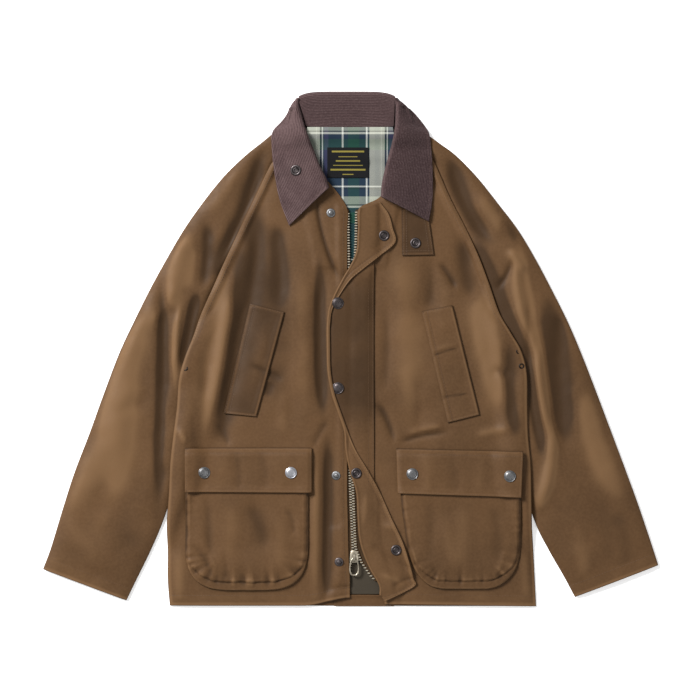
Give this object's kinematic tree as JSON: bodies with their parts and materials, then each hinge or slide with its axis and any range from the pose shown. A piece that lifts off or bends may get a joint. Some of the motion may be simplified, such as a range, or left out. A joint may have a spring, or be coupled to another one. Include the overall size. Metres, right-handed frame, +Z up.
{
  "type": "waxed cotton jacket",
  "caption": "Waxed cotton jacket laid flat, front up: raglan sleeves, open corduroy collar, storm fly over a metal zip, slanted hand pockets and flapped bellows pockets.",
  "frame": {"origin": "middle of the jacket's outline, on the surface it lies on", "axes": "+X across the jacket towards the wearer's left sleeve, +Y towards the collar, +Z up from the surface, out of the jacket's front"},
  "size_m": [0.922, 0.771, 0.0233],
  "materials": {
    "waxed_cotton": "waxed brown cotton, dull sheen, mottled",
    "corduroy": "fine-wale corduroy, plum brown",
    "check_lining": "woven cotton check in navy, green and ecru",
    "dark_lining": "plain dark grey-green cotton",
    "label": "bare woven satin label",
    "zip_tape": "dark woven tape",
    "pewter": "pewter-plated pressed metal",
    "antique_brass": "antique brass, rubbed edges"
  },
  "bodies": {
    "garment": {"back_hem_facing": "waxed_cotton", "back_panel": "waxed_cotton", "collar_back": "corduroy", "collar_leaf_left": "corduroy", "collar_leaf_right": "corduroy", "collar_stud": "pewter", "eyelet_left_lower": "pewter", "eyelet_left_upper": "pewter", "eyelet_right": "pewter", "flap_cap_left_inner": "pewter", "flap_cap_left_outer": "pewter", "flap_cap_right_inner": "pewter", "flap_cap_right_outer": "pewter", "fly_cap_lower": "pewter", "fly_cap_upper": "pewter", "fly_socket_hem": "pewter", "fly_socket_middle": "pewter", "fly_socket_top": "pewter", "front_left": "waxed_cotton", "front_right": "waxed_cotton", "front_stud_hem": "pewter", "front_stud_middle": "pewter", "front_stud_neck": "pewter", "hem_lining": "dark_lining", "neck_label": "label", "neck_lining": "check_lining", "pocket_bag_left": "waxed_cotton", "pocket_bag_right": "waxed_cotton", "pocket_flap_left": "waxed_cotton", "pocket_flap_right": "waxed_cotton", "sleeve_left": "waxed_cotton", "sleeve_right": "waxed_cotton", "storm_fly": "waxed_cotton", "throat_snap": "pewter", "throat_tab": "waxed_cotton", "welt_left": "waxed_cotton", "welt_right": "waxed_cotton", "zip_slider": "antique_brass", "zip_tape_left": "zip_tape", "zip_tape_right": "zip_tape"},
    "zip_pull": {"zip_pull": "antique_brass"}
  },
  "joints": [
    {"name": "pull_hinge", "type": "hinge", "parent": "garment", "child": "zip_pull", "pos_m": [0.00519, -0.313, 0.00923], "axis": [-1, 0, 0], "range_deg": [0, 150]}
  ]
}
